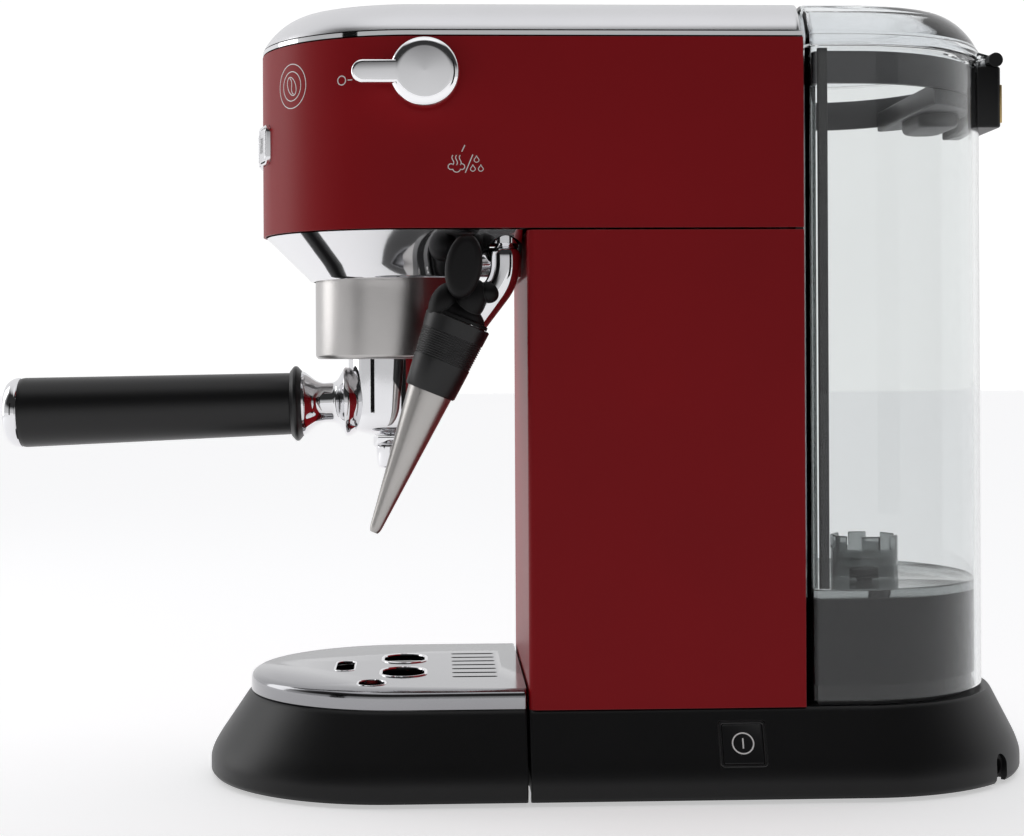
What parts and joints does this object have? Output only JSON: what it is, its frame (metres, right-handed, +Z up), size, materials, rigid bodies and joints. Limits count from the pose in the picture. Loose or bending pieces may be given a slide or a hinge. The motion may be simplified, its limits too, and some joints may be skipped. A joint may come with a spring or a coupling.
{
  "type": "espresso machine",
  "caption": "Slim home espresso machine with a portafilter, a side steam wand and steam knob, front push buttons, a pull-out drip tray and a lift-out rear water tank.",
  "frame": {"origin": "on the counter, under the middle of the overall bounding box", "axes": "+X towards the back and the water tank, +Y towards the side away from the steam knob, +Z up"},
  "size_m": [0.4152, 0.1495, 0.305],
  "materials": {
    "black_plastic": "satin moulded plastic",
    "satin_black": "smooth satin",
    "rubber_black": "matt",
    "red_paint": "satin enamel",
    "chrome_trim": "polished",
    "satin_chrome": "satin",
    "brushed_metal": "brushed",
    "cast_metal": "cast",
    "valve_brass": "turned",
    "board_green": "satin",
    "clear_hose": "silicone",
    "button_black": "semi-gloss",
    "float_red": "glossy",
    "clear_tank": "clear, slightly smoky",
    "smoky_clear": "smoky",
    "grey_plastic": "satin"
  },
  "bodies": {
    "machine": {"base_housing": "black_plastic", "base_plate": "black_plastic", "rubber_feet": "rubber_black", "cord_gland": "rubber_black", "switch_bezel": "satin_black", "column_shell": "red_paint", "head_shell": "red_paint", "top_trim": "chrome_trim", "top_cover": "chrome_trim", "warmer_plate": "brushed_metal", "head_skirt": "chrome_trim", "inner_frame": "black_plastic", "rear_panel": "black_plastic", "tank_seat": "black_plastic", "inlet_socket": "black_plastic", "group_head": "cast_metal", "group_gasket": "rubber_black", "shower_screen": "brushed_metal", "screen_screw": "brushed_metal", "thermoblock": "cast_metal", "pump_body": "black_plastic", "pump_mounts": "rubber_black", "pump_spring": "brushed_metal", "control_board": "board_green", "steam_valve": "valve_brass", "inlet_hose": "clear_hose", "pressure_hose": "clear_hose", "steam_line": "brushed_metal", "button_bezels": "chrome_trim", "wand_bush": "chrome_trim", "body_screws": "brushed_metal"},
    "knob": {"steam_knob": "chrome_trim", "valve_spindle": "valve_brass"},
    "power": {"power_button": "button_black"},
    "one_cup": {"button_one_cup": "satin_chrome"},
    "two_cups": {"button_two_cups": "satin_chrome"},
    "steam_key": {"button_steam": "satin_chrome"},
    "portafilter": {"portafilter_ring": "brushed_metal", "portafilter_body": "chrome_trim", "filter_basket": "brushed_metal", "handle_collar": "satin_black", "handle_grip": "satin_black", "handle_cap": "chrome_trim", "spout": "chrome_trim"},
    "wand": {"steam_pipe": "chrome_trim", "wand_grip": "rubber_black", "wand_core": "satin_black", "steam_nozzle": "brushed_metal"},
    "frother": {"frother_sleeve": "satin_black"},
    "tray": {"drip_tray": "black_plastic"},
    "plate": {"cup_plate": "chrome_trim"},
    "float": {"tray_float": "float_red"},
    "tank": {"water_tank": "clear_tank", "tank_collar": "grey_plastic", "filter_cup": "smoky_clear", "hinge_block": "black_plastic", "hinge_pin": "brushed_metal"},
    "valve": {"tank_valve": "grey_plastic"},
    "lid": {"tank_lid": "smoky_clear"},
    "piston": {"pump_piston": "brushed_metal"}
  },
  "joints": [
    {"name": "knob_turn", "type": "hinge", "parent": "machine", "child": "knob", "pos_m": [-0.0351, -0.063, 0.2757], "axis": [0, -1, 0], "range_deg": [0, 117]},
    {"name": "power_press", "type": "slide", "parent": "machine", "child": "power", "axis": [0, 0.889, -0.4579], "range_m": [0, 0.002], "stiffness_N_per_m": 500, "springref_m": -0.001},
    {"name": "one_cup_press", "type": "slide", "parent": "machine", "child": "one_cup", "axis": [0.9636, -0.2672, 0], "range_m": [0, 0.0012], "stiffness_N_per_m": 500, "springref_m": -0.001},
    {"name": "two_cups_press", "type": "slide", "parent": "machine", "child": "two_cups", "axis": [1, 0, 0], "range_m": [0, 0.0012], "stiffness_N_per_m": 500, "springref_m": -0.001},
    {"name": "steam_key_press", "type": "slide", "parent": "machine", "child": "steam_key", "axis": [0.9636, 0.2672, 0], "range_m": [0, 0.0012], "stiffness_N_per_m": 500, "springref_m": -0.001},
    {"name": "portafilter_turn", "type": "hinge", "parent": "machine", "child": "portafilter", "pos_m": [-0.0502, 0, 0.2062], "axis": [0, 0, 1], "range_deg": [-42, 0]},
    {"name": "wand_swing", "type": "hinge", "parent": "machine", "child": "wand", "pos_m": [-0.0045, -0.053, 0.1997], "axis": [0, 0, 1], "range_deg": [0, 60]},
    {"name": "frother_slide", "type": "slide", "parent": "wand", "child": "frother", "axis": [-0.3746, 0, -0.9272], "range_m": [0, 0.004]},
    {"name": "tray_slide", "type": "slide", "parent": "machine", "child": "tray", "axis": [-1, 0, 0], "range_m": [0, 0.14]},
    {"name": "plate_lift", "type": "slide", "parent": "tray", "child": "plate", "axis": [0, 0, 1], "range_m": [0, 0.04]},
    {"name": "float_rise", "type": "slide", "parent": "tray", "child": "float", "axis": [0, 0, 1], "range_m": [0, 0.006]},
    {"name": "tank_lift", "type": "slide", "parent": "machine", "child": "tank", "axis": [0, 0, 1], "range_m": [0, 0.28]},
    {"name": "tank_valve_rise", "type": "slide", "parent": "tank", "child": "valve", "axis": [0, 0, 1], "range_m": [0, 0.003], "stiffness_N_per_m": 200, "springref_m": -0.001},
    {"name": "lid_open", "type": "hinge", "parent": "tank", "child": "lid", "pos_m": [0.1953, 0, 0.2879], "axis": [0, 1, 0], "range_deg": [0, 95]},
    {"name": "pump_stroke", "type": "slide", "parent": "machine", "child": "piston", "axis": [0, 0, 1], "range_m": [-0.003, 0.003], "stiffness_N_per_m": 2000, "deforming": ["pump_spring"]}
  ]
}
